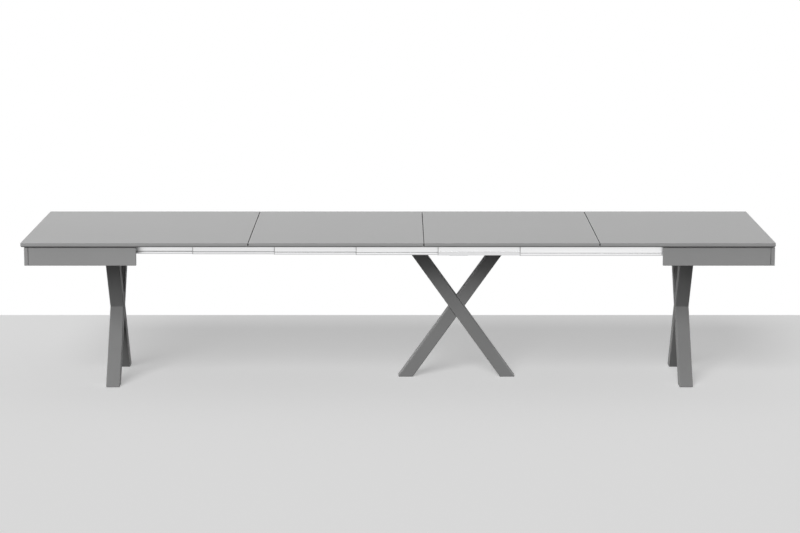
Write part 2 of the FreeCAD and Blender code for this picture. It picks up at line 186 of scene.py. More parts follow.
def rounded_loop(half_u, half_v, radius, inset=0.0, margin=EDGE_MARGIN):
    """Rounded rectangle, drawn in by an inset: corner centre + (radius - inset) (cos, sin), with a
    point on the flat a margin before and after each corner. Past the radius the corner is mitred."""
    drawn = np.minimum(inset, DRAWN_SHARE * radius)
    rest = inset - drawn
    cos, sin = np.cos(CORNER_TURN), np.sin(CORNER_TURN)
    slide = CORNER_SLIDE * margin
    u = SIGN_U * (half_u - radius - rest) + (radius - drawn) * cos - slide * sin
    v = SIGN_V * (half_v - radius - rest) + (radius - drawn) * sin + slide * cos
    return u, v


print("a loop has", CORNER_TURN.size, "points")

# %% [markdown]
# ## A board with eased edges
# A tabletop or apron board is a flat block whose arrises are rounded with a router. The surface
# is a vertical profile carried round a rounded loop: the profile turns at the lower arris in a
# curve between a quarter circle and a chamfer, climbs the side, and turns a quarter circle at the
# upper arris. A bevel modifier would give all edges one width; here each of the four sides has its
# own, since a seam between two leaves is eased less than an outer edge.

# %% Slab
LOWER_FLATNESS = 1.5
LEDGE_RISE = 0.2 * MILLIMETRE
MARGIN_PARTS = 3
# Painted seam shade reaches round a corner in full until a sixth of the seam's side is left, and then fades.
SEAM_SHADE_REACH = 6


def by_side(values):
    """Values of the +x, +y, -x and -y sides, blended from side to side round each corner."""
    values = np.broadcast_to(np.asarray(values, float), (4,))
    return values[:, None] * (1 - CORNER_BLEND) + np.roll(values, -1)[:, None] * CORNER_BLEND


def slab(low, high, plan_radius, lower, upper, lip=0.0, lip_rise=None):
    """Board between two corners: at a turn a of the arris, the lower edge has inset r (1 - sin^k a)
    at height r (1 - cos^k a), and the upper edge mirrors it with k = 1, a quarter circle; k = 2 would
    be a flat chamfer. From lip_rise above the lower arris, if it is given, each side is drawn in by
    its lip up to its rounded ends, and it has an edge value of -1 there and some way round the ends,
    where the finish paints shade. Each row of the profile is (inset, height, edge, seam_shade)."""
    centre, half = (low + high) / 2, (high - low) / 2
    lower, upper, side_lip = by_side(lower), by_side(upper), by_side(lip)
    lip = np.where(ON_CORNER, 0, side_lip)
    has_lip = lip_rise is not None
    turn = np.linspace(0, math.pi / 2, CORNER_STEPS)[:, None, None]
    arris = 0.5 + 0.5 * np.sin(2 * turn)
    height = high[2] - low[2]
    side = height - upper.max() - lower.max()
    margin = min(EDGE_MARGIN, (lip_rise if has_lip else side) / MARGIN_PARTS)
    flat = np.zeros((1, 4, CORNER_BLEND.size))
    lower_inset, lower_height = (lower * (1 - curve(turn) ** LOWER_FLATNESS) for curve in (np.sin, np.cos))
    profile = [(flat + lower + margin, flat, 0, 0), (lower_inset, lower_height, arris, 0),
               (flat, flat + lower + margin, 0, 0)]
    if has_lip:
        ledge = flat + lower + lip_rise
        profile += [(flat, ledge, 0, 1), (flat + lip, ledge + LEDGE_RISE, 0, 1)]
    profile += [(flat + lip, flat + height - upper - margin, 0, has_lip),
                (lip + upper * (1 - np.cos(turn)), height - upper * (1 - np.sin(turn)), arris, 0),
                (flat + lip + upper + margin, flat + height, 0, 0)]
    insets, heights, edge, seam_shade = (
        np.concatenate([row[part] + 0 * row[0] for row in profile]) for part in range(4))
    u, v = rounded_loop(half[0], half[1], plan_radius, insets, margin)
    points = np.stack([centre[0] + u, centre[1] + v, low[2] + heights], axis=-1)
    edge = np.maximum(edge, CORNER_EDGE)
    edge[[0, -1]] = 0
    # Where the seam's faces get painted shade, fading round the corners.
    seam_shade = seam_shade * np.clip(SEAM_SHADE_REACH * side_lip / max(lip.max(), MILLIMETRE), 0, 1)
    edge = edge * (1 - seam_shade) - seam_shade
    shape = points.shape[0], CORNER_TURN.size
    return points.reshape(*shape, 3), stacked(shape), edge.reshape(shape)


print("a slab without a lip has", (2 * CORNER_STEPS + 4) * CORNER_TURN.size, "points")

# %% [markdown]
# ## Finishes from nodes
# Every finish is procedural, a small tree of shader nodes. It could be put together by hand in the
# shader editor; here a finish is a short recipe, a function that gives the inputs of the shader. All
# finishes read Object coordinates, so the grain is as large on a long runner as on a short one. A
# value that is the same all over is set on the shader itself.

# %% Node helpers


def plug(tree, node, inputs):
    """Inputs of a node by name: a socket is linked, a plain value is set."""
    for name, value in inputs.items():
        if isinstance(value, bpy.types.NodeSocket):
            tree.links.new(value, node.inputs[name])
        else:
            node.inputs[name].default_value = value


def add(tree, kind, inputs=None, **settings):
    """One node, with its own properties as settings."""
    made = tree.nodes.new(kind)
    for name, value in settings.items():
        setattr(made, name, value)
    plug(tree, made, inputs or {})
    return made


def finish(name, recipe, *values):
    """A material whose shader takes its inputs from a recipe, recipe(tree, Object coordinates, values)."""
    material = bpy.data.materials.new(name)
    material.use_nodes = True
    tree = material.node_tree
    place = add(tree, "ShaderNodeTexCoord").outputs["Object"]
    plug(tree, tree.nodes["Principled BSDF"], recipe(tree, place, *values))
    return material


def arithmetic(tree, operation, first, *others):
    """Values taken together by one operation, from left to right."""
    for value in others:
        first = add(tree, "ShaderNodeMath", {0: first, 1: value}, operation=operation).outputs[0]
    return first


def plus(tree, *values):
    """Sum of values."""
    return arithmetic(tree, "ADD", *values)


def times(tree, *values):
    """Product of values."""
    return arithmetic(tree, "MULTIPLY", *values)


print("node helpers ready")

# %% [markdown]
# A noise runs from 0 to 1 but mostly stays near its middle, so one helper carries its usual span to
# the span that a finish needs. Greys are written as they are seen, 0 to 255, and another helper turns
# them into the share of light that the surface sends back.

# %% Noise, colour and relief
NOISE_LOW, NOISE_HIGH = 0.3, 0.7
SCREEN_WHITE, SCREEN_OFFSET, SCREEN_POWER = 255, 0.055, 2.4


def noise(tree, place, scale, detail=2.0, stretch=(1, 1, 1)):
    """Fractal noise, 0 to 1, with its own stretch: a small factor draws it out along that axis."""
    mapped = add(tree, "ShaderNodeMapping", {"Vector": place, "Scale": stretch})
    grain = add(tree, "ShaderNodeTexNoise", {"Vector": mapped.outputs[0], "Scale": scale, "Detail": detail})
    return grain.outputs["Fac"]


def spread(tree, value, low, high, start=NOISE_LOW, end=NOISE_HIGH):
    """A value's span, start to end, carried to low to high and held there beyond it."""
    names = {"Value": value, "From Min": start, "From Max": end, "To Min": low, "To Max": high}
    return add(tree, "ShaderNodeMapRange", names).outputs["Result"]


def blend(tree, factor, first, second):
    """A colour between two others, each of them a socket, one grey or three shares."""
    made = add(tree, "ShaderNodeMix", {"Factor": factor}, data_type="RGBA")
    for name, colour in (("A", first), ("B", second)):
        if not isinstance(colour, bpy.types.NodeSocket):
            colour = (*np.broadcast_to(colour, 3), 1)
        plug(tree, made, {name: colour})
    return made.outputs["Result"]


def edge_value(tree):
    """The piece's own edge attribute."""
    return add(tree, "ShaderNodeAttribute", attribute_name="edge").outputs["Fac"]


def bump(tree, height, distance):
    """Normal of a relief in metres."""
    relief = {"Height": height, "Distance": distance, "Strength": 1.0}
    return add(tree, "ShaderNodeBump", relief).outputs["Normal"]


def linear(level):
    """((s + o) / (1 + o))^p of a grey as it is seen, s, as a share of white."""
    return ((level / SCREEN_WHITE + SCREEN_OFFSET) / (1 + SCREEN_OFFSET)) ** SCREEN_POWER


print("mid grey 176 sends back", round(linear(176), 3))

# %% [markdown]
# ## Matt grey lacquer
# The boards are sprayed with a matt grey lacquer over a fine-grained face. One plain grey would do
# from afar, but up close it would look like paper. The spray leaves a soft cloudiness, the grain
# shows through as faint lengthwise lines, there is a fine tooth to the touch, and the arrises are a
# little thinner and shinier. The faces inside a seam are painted near black, as painted shade in
# the seam.

# %% Lacquer
# The aprons' grey is set a little darker than the top's, as painted shade on the upright boards of one
# lacquer.
TOP_GREY, APRON_GREY, SEAM_SHADE_GREY = linear(165), linear(159), linear(36)
LACQUER_DARK, LACQUER_LIGHT = 0.955, 1.045
CLOUD_SCALE, GRAIN_SCALE, TOOTH_SCALE = 2.2, 420, 1700
GRAIN_DRAWN = (0.03, 1, 1)
CLOUD_TONE, GRAIN_TONE, RUBBED_TONE = (-0.35, 0.35), (0.3, 0.7), (0.1, 0.5)
LACQUER_ROUGH, EDGE_POLISH, LACQUER_GLOSS = (0.5, 0.6), 0.12, 0.2
GRAIN_SHARE, LACQUER_RELIEF = 0.6, 0.03 * MILLIMETRE


def lacquer(tree, place, grey):
    """Cloud, grain and tooth, each a noise of its own size, around one grey, with painted shade, near
    black, where the edge value is below 0."""
    cloud = noise(tree, place, CLOUD_SCALE, detail=4)
    grain = noise(tree, place, GRAIN_SCALE, detail=3, stretch=GRAIN_DRAWN)
    tooth = noise(tree, place, TOOTH_SCALE)
    edge = edge_value(tree)
    spray = spread(tree, cloud, *CLOUD_TONE)
    lines = spread(tree, grain, *GRAIN_TONE)
    rubbed = times(tree, edge, spread(tree, tooth, *RUBBED_TONE))
    tone = plus(tree, spray, lines, rubbed)
    colour = blend(tree, tone, grey * LACQUER_DARK, grey * LACQUER_LIGHT)
    # Painted shade in the seam, near black where the edge value is -1.
    seam_shade = spread(tree, edge, 1, 0, -1, 0)
    polish = times(tree, edge, EDGE_POLISH)
    relief = plus(tree, tooth, times(tree, grain, GRAIN_SHARE))
    return {
        "Base Color": blend(tree, seam_shade, colour, SEAM_SHADE_GREY),
        "Roughness": arithmetic(tree, "SUBTRACT", spread(tree, cloud, *LACQUER_ROUGH), polish),
        "Specular IOR Level": LACQUER_GLOSS,
        "Normal": bump(tree, relief, LACQUER_RELIEF),
    }


top_lacquer = finish("matt_grey_top", lacquer, TOP_GREY)
apron_lacquer = finish("matt_grey_apron", lacquer, APRON_GREY)
print("lacquers", top_lacquer.name, apron_lacquer.name)

# %% [markdown]
# ## Powder coat on steel
# The legs are welded steel tube with a baked powder coat. Powder melts into a fine orange peel, a
# little uneven, and thins on the corners, which then catch the light. An image could show the peel,
# but it would need unwrapping; a noise in space runs on over every bar without a join.

# %% Powder coat
LEG_GREY = linear(142)
COAT_DARK, COAT_LIGHT = 0.92, 1.08
PEEL_SCALE, SPECKLE_SCALE, DRIFT_SCALE = 900, 2600, 6
SPECKLE_TONE, DRIFT_TONE, THIN_TONE = (0.3, 0.6), (-0.2, 0.2), 0.35
COAT_ROUGH, COAT_GLOSS = (0.5, 0.62), 0.1
SPECKLE_SHARE, COAT_RELIEF = 0.3, 0.06 * MILLIMETRE


def powder_coat(tree, place, grey):
    """Orange peel of about a millimetre, with speckle, around one grey, lighter on the arrises."""
    peel = noise(tree, place, PEEL_SCALE)
    speckle = noise(tree, place, SPECKLE_SCALE, detail=1)
    drift = noise(tree, place, DRIFT_SCALE, detail=3)
    patches = plus(tree, spread(tree, speckle, *SPECKLE_TONE), spread(tree, drift, *DRIFT_TONE))
    thin = times(tree, edge_value(tree), THIN_TONE)
    tone = plus(tree, patches, thin)
    relief = plus(tree, peel, times(tree, speckle, SPECKLE_SHARE))
    return {
        "Base Color": blend(tree, tone, grey * COAT_DARK, grey * COAT_LIGHT),
        "Roughness": spread(tree, drift, *COAT_ROUGH),
        "Specular IOR Level": COAT_GLOSS,
        "Normal": bump(tree, relief, COAT_RELIEF),
    }


leg_coat = finish("grey_powder_coat", powder_coat, LEG_GREY)
print("coat", leg_coat.name)

# %% [markdown]
# ## Drawn aluminium
# The runners are extruded and satin anodised: die lines run their whole length, so the noise is
# drawn out along X. The grooves are painted dark, as painted shade in the recess. They could be
# painted by hand; here a rule finds them by their place in the stack, since the runners share one section.

# %% Where the groove shade is painted
RUNNERS_IN_STACK = 8
SIDE_SKIN = 0.3 * MILLIMETRE
GROOVE_BAND = (7 * MILLIMETRE, 18.5 * MILLIMETRE)
OUTER_SHADE = 0.25
PLAIN_RUNNER, PLAIN_SIDE_SHADE = "front_runner_5", 0.34


def within(tree, value, low, high):
    """1 where a value lies between two limits."""
    above = arithmetic(tree, "GREATER_THAN", value, low)
    return times(tree, above, arithmetic(tree, "LESS_THAN", value, high))


def groove_faces(tree, place):
    """Above 0 on the faces of the grooves: they lie in a band low on the runner, and their depth into
    the stack, counted anew for each runner, is between the grooves' floor and the runner's outer side.
    The shade is painted less dark on the outer runners, which lie less deep under the top, so the value
    falls from 1 towards the outside. One runner has a plain side, with a band of painted shade low on it."""
    first_low, first_high = corners("left_rear_runner")
    last_high = corners("right_rear_runner")[1]
    pitch = (last_high[1] - first_high[1]) / (RUNNERS_IN_STACK - 1)
    thickness = first_high[1] - first_low[1]
    axes = add(tree, "ShaderNodeSeparateXYZ", {"Vector": place}).outputs
    off_middle = arithmetic(tree, "ABSOLUTE", axes["Y"], 0)
    depth = arithmetic(tree, "FLOORED_MODULO", arithmetic(tree, "SUBTRACT", off_middle, first_low[1]), pitch)
    inside = within(tree, depth, thickness / 2, thickness - SIDE_SKIN)
    band = within(tree, axes["Z"], first_low[2] + GROOVE_BAND[0], first_low[2] + GROOVE_BAND[1])
    # Painted shade falls off towards the outer runners, which sit less deep under the top.
    shade_falloff = spread(tree, off_middle, 1, OUTER_SHADE, first_high[1], last_high[1])
    grooves = times(tree, inside, band, shade_falloff)
    # A band of painted shade on the lower half of one runner's plain side.
    plain_side = -corners(PLAIN_RUNNER)[0][1]
    on_side = within(tree, off_middle, plain_side - SIDE_SKIN, plain_side + SIDE_SKIN)
    low_half = within(tree, axes["Z"], first_low[2], first_low[2] + GROOVE_BAND[1])
    painted_shade = times(tree, on_side, low_half, PLAIN_SIDE_SHADE)
    return arithmetic(tree, "MAXIMUM", grooves, painted_shade)


# The grease and film named in this print are painted shade.
print("grease in", RUNNERS_IN_STACK, "runners on each side, and a film on", PLAIN_RUNNER)

# %% [markdown]
# The painted groove shade is darker than the metal, so the tone is that of the die lines less the
# shade. The roughness follows the lines too, which makes reflections run along the runner.

# %% Aluminium
ALUMINIUM, GROOVE_SHADE = (0.945, 0.945, 0.95), (0.38, 0.38, 0.39)
LINE_SCALE, LINE_DRAWN = 900, (0.004, 1, 1)
GLOSS_SCALE, GLOSS_DRAWN = 8, (0.3, 1, 1)
LINE_TONE, SHADE_TONE = (0.9, 1), (0.75, 0.9)
LINE_ROUGH, GLOSS_ROUGH = (0.26, 0.34), (-0.03, 0.05)
LINE_RELIEF = 0.015 * MILLIMETRE


def drawn_aluminium(tree, place):
    """Die lines along X, with a slow drift in gloss, and painted shade in the grooves."""
    lines = noise(tree, place, LINE_SCALE, detail=3, stretch=LINE_DRAWN)
    drift = noise(tree, place, GLOSS_SCALE, stretch=GLOSS_DRAWN)
    # Painted shade: the groove faces and one band are pulled towards a dark grey.
    painted_shade = times(tree, groove_faces(tree, place), spread(tree, drift, *SHADE_TONE))
    bright = arithmetic(tree, "SUBTRACT", spread(tree, lines, *LINE_TONE), painted_shade)
    return {
        "Base Color": blend(tree, bright, GROOVE_SHADE, ALUMINIUM),
        "Metallic": 1,
        "Roughness": plus(tree, spread(tree, lines, *LINE_ROUGH), spread(tree, drift, *GLOSS_ROUGH)),
        "Normal": bump(tree, lines, LINE_RELIEF),
    }


aluminium = finish("satin_aluminium", drawn_aluminium)
print("metal", aluminium.name)

# %% [markdown]
# ## Zinc plate and mouldings
# The brackets, bolts and screws are zinc plated. A plain grey metal would pass for polished steel,
# so crystal-like cells lie over a soft cloud. The runners' end caps and the foot pads are moulded
# plastic with a spark-eroded, slightly uneven skin, one function for two greys.

# %% Zinc and plastics
ZINC_LIGHT, ZINC_DARK = (0.66, 0.67, 0.69), (0.46, 0.47, 0.48)
CELL_SCALE, MOTTLE_SCALE = 260.0, 40
CELL_SHARE, MOTTLE_TONE = 0.5, (0, 0.7)
ZINC_ROUGH, CELL_RELIEF = (0.34, 0.5), 0.02 * MILLIMETRE
CAP_GREY, FOOT_GREY = linear(205), linear(140)
CAP_ROUGH, FOOT_ROUGH, ROUGH_SPAN = 0.42, 0.5, 0.12
PLASTIC_DARK, PLASTIC_LIGHT = 0.94, 1.04
SKIN_SCALE, FLOW_SCALE = 1300, 30
SKIN_RELIEF = 0.05 * MILLIMETRE


def zinc_plate(tree, place):
    """Mottled plating: crystal-like cells over a soft cloud."""
    cells = add(tree, "ShaderNodeTexVoronoi", {"Vector": place, "Scale": CELL_SCALE}).outputs["Distance"]
    cloud = noise(tree, place, MOTTLE_SCALE, detail=4)
    crystals = times(tree, cells, CELL_SHARE)
    tone = plus(tree, crystals, spread(tree, cloud, *MOTTLE_TONE))
    return {
        "Base Color": blend(tree, tone, ZINC_DARK, ZINC_LIGHT),
        "Metallic": 1,
        "Roughness": spread(tree, cloud, *ZINC_ROUGH),
        "Normal": bump(tree, cells, CELL_RELIEF),
    }


def moulding(tree, place, grey, rough):
    """Moulded plastic with an eroded skin, its tone and gloss uneven with the flow."""
    skin = noise(tree, place, SKIN_SCALE)
    flow = noise(tree, place, FLOW_SCALE, detail=3)
    return {
        "Base Color": blend(tree, spread(tree, flow, 0, 1), grey * PLASTIC_DARK, grey * PLASTIC_LIGHT),
        "Roughness": spread(tree, flow, rough, rough + ROUGH_SPAN),
        "Normal": bump(tree, skin, SKIN_RELIEF),
    }


zinc = finish("zinc_plate", zinc_plate)
cap_moulding = finish("light_grey_moulding", moulding, CAP_GREY, CAP_ROUGH)
foot_moulding = finish("mid_grey_moulding", moulding, FOOT_GREY, FOOT_ROUGH)
print("plating and mouldings", zinc.name, cap_moulding.name, foot_moulding.name)

# %% [markdown]
# ## Planed softwood
# The corner blocks and cleats inside the boxes are bare wood. On a planed face the growth rings show
# as long stripes. A wave texture would draw them too evenly, so they are a noise drawn out along Y,
# which is the way that the cleats run.

# %% Softwood
EARLY_WOOD, LATE_WOOD = (0.66, 0.47, 0.28), (0.45, 0.27, 0.13)
RING_SCALE, RING_DRAWN = 60, (1, 0.02, 1)
PORE_SCALE, PORE_DRAWN = 900, (1, 0.05, 1)
RING_SPAN, RING_TONE, PORE_TONE = (0.35, 0.65), (0, 0.8), (0, 0.2)
WOOD_ROUGH, PORE_RELIEF = (0.55, 0.7), 0.06 * MILLIMETRE


def softwood(tree, place):
    """Stripes of late wood some millimetres wide, drawn out along Y, with fine pores."""
    rings = noise(tree, place, RING_SCALE, detail=3, stretch=RING_DRAWN)
    pores = noise(tree, place, PORE_SCALE, stretch=PORE_DRAWN)
    stripes = spread(tree, rings, *RING_TONE, *RING_SPAN)
    tone = plus(tree, stripes, spread(tree, pores, *PORE_TONE))
    return {
        "Base Color": blend(tree, tone, EARLY_WOOD, LATE_WOOD),
        "Roughness": spread(tree, pores, *WOOD_ROUGH),
        "Normal": bump(tree, pores, PORE_RELIEF),
    }


wood = finish("planed_softwood", softwood)
print("wood", wood.name)

# %% [markdown]
# ## Finishes on the frame
# Each node of the frame has a plain material that is named for what it is made of. Pieces made below
# bring their own finish. For the nodes that stay in view, such as runners, caps and beams, it is
# enough to change that material for the finish, because their shape is right as it is.

# %% Finishes on the nodes
finishes = {
    "top_laminate": top_lacquer,
    "apron_laminate": apron_lacquer,
    "frame_wood": wood,
    "leg_paint": leg_coat,
    "runner_aluminium": aluminium,
    "cap_plastic": cap_moulding,
    "foot_plastic": foot_moulding,
    "zinc_steel": zinc,
}
for node in frame["nodes"].values():
    for material_slot in node.material_slots:
        material_slot.material = finishes[material_slot.material.name]
print("finished nodes", len(frame["nodes"]))

# %% [markdown]
# ## The tabletop
# The main top and three leaves are four boards with an open seam between them. Outer edges have
# a soft lower arris, which shows as a darker line along the front; seam edges are barely eased. The
# seam is a few millimetres wide down to a low lip on each board. The two lips almost meet, so from
# above and in front it is a dark line, and no light comes through from the floor; painted shade on
# its faces makes it darker still. The recess could be cut with a boolean; here it is a few more rows
# of the board's profile. It stops before the rounded corners, and the painted shade goes on round them.

# %% Tabletop boards
OUTER_LOWER, OUTER_UPPER, SEAM_EASE = 7.5 * MILLIMETRE, 1.0 * MILLIMETRE, 1.2 * MILLIMETRE
OUTER_CORNER, SEAM_CORNER = 4.0 * MILLIMETRE, 3.2 * MILLIMETRE
SEAM_LIP, LIP_RISE = 1.6 * MILLIMETRE, 3.0 * MILLIMETRE
tops = ["main_top", "leaf_1", "leaf_2", "leaf_3"]
for number, node in enumerate(tops):
    low, high = corners(node)
    right, left = number < len(tops) - 1, number > 0
    seam_sides, seam_corners = np.array([right, False, left, False]), np.array([right, left, left, right])
    lower = np.where(seam_sides, SEAM_EASE, OUTER_LOWER)
    upper = np.where(seam_sides, SEAM_EASE, OUTER_UPPER)
    lip = np.where(seam_sides, SEAM_LIP, 0)
    plan = np.where(seam_corners, SEAM_CORNER, OUTER_CORNER)[:, None]
    board = slab(low, high, plan, lower, upper, lip, LIP_RISE)
    piece(node + "_board", [board], top_lacquer, body_of(node), [node])
print("boards on top:", tops)

# %% [markdown]
# ## The apron boxes
# Each end box has an end board over the full width and two side aprons butted against it. The end
# board's outer corners are rounded, and each apron starts two millimetres away from it, with only a
# thin tongue behind, so a fine dark groove shows at the joint. The apron could be one board with a
# groove cut in; a board and a tongue side by side are simpler and leave the same line.

# %% Apron boards
APRON_EASE, END_CORNER = 0.8 * MILLIMETRE, 3.0 * MILLIMETRE
GROOVE_WIDTH, GROOVE_DEPTH = 2.0 * MILLIMETRE, 4.0 * MILLIMETRE
TONGUE_EASE = GROOVE_WIDTH / 10
for side, towards in (("left", 1), ("right", -1)):
    node = side + "_end_board"
    low, high = corners(node)
    right, left = (APRON_EASE, END_CORNER) if towards > 0 else (END_CORNER, APRON_EASE)
    plan = np.array([right, left, left, right])[:, None]
    board = slab(low, high, plan, APRON_EASE, APRON_EASE)
    piece(node + "_eased", [board], apron_lacquer, body_of(node), [node])
    for node, outwards in ((side + "_front_apron", -1), (side + "_rear_apron", 1)):
        low, high = corners(node)
        board_box, tongue_box = np.array([low, high]), np.array([low, high])
        near, outer = int(towards < 0), int(outwards > 0)
        board_box[near, 0] = tongue_box[1 - near, 0] = board_box[near, 0] + towards * GROOVE_WIDTH
        tongue_box[outer, 1] -= outwards * GROOVE_DEPTH
        board = slab(*board_box, APRON_EASE, APRON_EASE, APRON_EASE)
        tongue = slab(*tongue_box, TONGUE_EASE, TONGUE_EASE, TONGUE_EASE)
        piece(node + "_eased", [board, tongue], apron_lacquer, body_of(node), [node])
print("apron boards eased by", APRON_EASE, "m, joint grooves", GROOVE_WIDTH, "m wide")

# %% [markdown]
# ## The crossed legs
# A leg is one steel tube that runs through from foot to head and two half tubes that butt against
# it. Its sizes could be written down here again; they are read back from the frame instead, so the
# two can't differ. The through bar reaches further out at the foot than at the head by the
# difference in height times the tangent of the lean. That gives the lean, and then the tube's depth.

# %% Leg geometry
X_AXIS, Y_AXIS, UP = np.eye(3)


def read_leg(name, lateral, sideways):
    """Centre, lean and section of a leg, from the boxes of its bars."""
    through_low, through_high = corners(name + "_through_bar")
    lower_high = corners(name + "_lower_bar")[1]
    reach = np.abs(lateral)
    middle = (through_low + through_high) / 2 * (1 - reach) + lower_high * reach
    middle[2] = lower_high[2]
    foot, head = middle[2] - through_low[2], through_high[2] - middle[2]
    foot_reach = (through_high - middle) @ reach
    head_reach = (middle - through_low) @ reach
    lean = math.atan2(foot_reach - head_reach, foot - head)
    depth = 2 * (foot_reach - foot * math.tan(lean)) * math.cos(lean)
    width = (through_high - through_low) @ np.abs(sideways)
    return {"name": name, "centre": middle, "lateral": lateral, "sideways": sideways, "lean": lean,
            "depth": depth, "width": width, "bottom": through_low[2], "top": through_high[2]}


legs = [
    read_leg("left_leg", Y_AXIS, -X_AXIS),
    read_leg("middle_leg", X_AXIS, Y_AXIS),
    read_leg("right_leg", Y_AXIS, -X_AXIS),
]
for leg in legs:
    print(leg["name"], "leans", round(math.degrees(leg["lean"]), 2), "degrees, tube",
          round(leg["depth"], 4), "x", round(leg["width"], 4))

# %% [markdown]
# Each tube is a rounded loop carried along a leaning line and cut off by two planes, so every point
# of the loop runs its own length. An extruded curve would end square and need cutting. The through
# bar ends level at the foot and at the head. A half bar stops a millimetre short of the through
# bar's face, which leaves a fine dark line at the crossing.

# %% Leg bars
LEG_CORNER = 4 * MILLIMETRE
BAR_ROWS = 12
WELD_GAP = 1.2 * MILLIMETRE


def bar_axes(leg, slope):
    """Depth direction and length direction of a bar that leans by slope times the lean."""
    sin, cos = math.sin(leg["lean"]) * slope, math.cos(leg["lean"])
    return cos * leg["lateral"] - sin * UP, sin * leg["lateral"] + cos * UP


def level_cut(leg, slope, height):
    """Length along the bar at which its line through depth a meets a level plane."""
    sin, cos = math.sin(leg["lean"]) * slope, math.cos(leg["lean"])
    return lambda a: (height - leg["centre"][2] + a * sin) / cos


def face_cut(leg, side):
    """Length along a half bar at which its line through depth a meets the through bar's face, less
    the weld gap."""
    twice = 2 * leg["lean"]
    reach = side * (leg["depth"] / 2 + WELD_GAP)
    return lambda a: (reach - a * math.cos(twice)) / math.sin(twice)


def leg_bar(leg, slope, start, end):
    """centre + a * depth + b * width + s * length, with s from one cut to the other."""
    a, b = rounded_loop(leg["depth"] / 2, leg["width"] / 2, LEG_CORNER)
    a, b = a.ravel(), b.ravel()
    across, along = bar_axes(leg, slope)
    share = np.linspace(0, 1, BAR_ROWS)[:, None]
    s = start(a) + (end(a) - start(a)) * share
    points = leg["centre"] + (a[:, None] * across + b[:, None] * leg["sideways"]) + s[..., None] * along
    edge = np.broadcast_to(np.tile(CORNER_EDGE, 4), s.shape)
    return points, stacked(s.shape), edge


for leg in legs:
    bars = {
        "_through_bar": (-1, level_cut(leg, -1, leg["bottom"]), level_cut(leg, -1, leg["top"])),
        "_upper_bar": (1, face_cut(leg, 1), level_cut(leg, 1, leg["top"])),
        "_lower_bar": (1, level_cut(leg, 1, leg["bottom"]), face_cut(leg, -1)),
    }
    for ending, (slope, start, end) in bars.items():
        node = leg["name"] + ending
        bar = leg_bar(leg, slope, start, end)
        piece(node + "_tube", [bar], leg_coat, body_of(node), [node])
print("leg bars made:", len(bars) * len(legs))

# %% [markdown]
# ## Foot pads
# A moulded pad closes each tube and keeps the steel off the floor. It could have a shape of its own,
# but it is a low board with well rounded corners, so the slab serves again, one for each foot. The
# two feet of a leg are one node, and its points are told apart by the side of the leg they are on.

# %% Foot pads
PAD_CORNER, PAD_LOWER, PAD_UPPER = 4 * MILLIMETRE, 1.2 * MILLIMETRE, 0.4 * MILLIMETRE
for leg in legs:
    node = leg["name"] + "_pads"
    vertices = frame["nodes"][node].data.vertices
    points = np.empty((len(vertices), 3), np.float32)
    vertices.foreach_get("co", points.ravel())
    far = (points - leg["centre"]) @ leg["lateral"] > 0
    feet = [(foot.min(0), foot.max(0)) for foot in (points[far], points[~far])]
    pads = [slab(low, high, PAD_CORNER, PAD_LOWER, PAD_UPPER) for low, high in feet]
    piece(node + "_moulded", pads, foot_moulding, body_of(node), [node])
print("pads made:", len(pads) * len(legs))

# %% [markdown]
# ## Weld seams
# The half bars are welded to the through bar, and the heads of the arms to their plates or to the top
# bar. A dressed weld is a small hollow fillet in each corner of the crossing and a low bead round
# each head. Bump in the coat could hint at it, but a weld shows in outline. The fillet is a curve
# from one face to the other with the corner as its control point, carried along the corner and
# shrinking at its ends; the bead is a circle carried round the head.

# %% Welds
FILLET_REACH, FILLET_ROOT, FILLET_END = 4.5 * MILLIMETRE, 0.4 * MILLIMETRE, 0.2
FILLET_STEPS, FILLET_ROWS = 7, 15
BEAD_RADIUS, BEAD_SIDES = 2.0 * MILLIMETRE, 10
SIGN_PAIRS = [(1, 1), (1, -1), (-1, 1), (-1, -1)]


def corner_fillet(leg, through_side, half_side):
    """P + L ((1 - t)^2 d + t^2 e), closed by a root behind the corner P, with L falling to the ends."""
    sin, cos = math.sin(leg["lean"]), math.cos(leg["lean"])
    lateral = leg["lateral"]
    quarter = leg["depth"] / 4
    corner = (leg["centre"] + lateral * (through_side + half_side) * quarter / cos
              + UP * (through_side - half_side) * quarter / sin)
    first = -half_side * (cos * UP - sin * lateral)
    last = through_side * (cos * UP + sin * lateral)
    if through_side == half_side:
        first, last = last, first
    t = np.linspace(0, 1, FILLET_STEPS)[:, None]
    hollow = (1 - t) ** 2 * first + t ** 2 * last
    behind = -(first + last) / np.linalg.norm(first + last) * FILLET_ROOT / FILLET_REACH
    outline = np.concatenate([[behind], hollow])
    turn = np.linspace(-math.pi / 2, math.pi / 2, FILLET_ROWS)
    reach = FILLET_REACH * (FILLET_END + (1 - FILLET_END) * np.sqrt(np.abs(np.cos(turn))))
    along = np.sin(turn) * (leg["width"] / 2 - LEG_CORNER)
    points = corner + reach[:, None, None] * outline + along[:, None, None] * leg["sideways"]
    return points, stacked(points.shape[:2]), 0.0


def head_bead(leg, side):
    """Circle of the bead's radius carried round the level cut of an arm's head."""
    a, b = rounded_loop(leg["depth"] / 2 / math.cos(leg["lean"]), leg["width"] / 2, LEG_CORNER)
    a, b, turn = (values.ravel()[:, None, None] for values in (a, b, CORNER_TURN))
    outwards = np.cos(turn) * leg["lateral"] + np.sin(turn) * leg["sideways"]
    rise = leg["top"] - leg["centre"][2]
    middle = leg["centre"] + side * rise * math.tan(leg["lean"]) * leg["lateral"] + rise * UP
    path = middle + a * leg["lateral"] + b * leg["sideways"] - BEAD_RADIUS / 2 * UP
    circle = np.linspace(0, -2 * math.pi, BEAD_SIDES, endpoint=False)[None, :, None]
    points = path + BEAD_RADIUS * (np.cos(circle) * outwards + np.sin(circle) * UP)
    return points, stacked(points.shape[:2], closed_path=True), 0.0


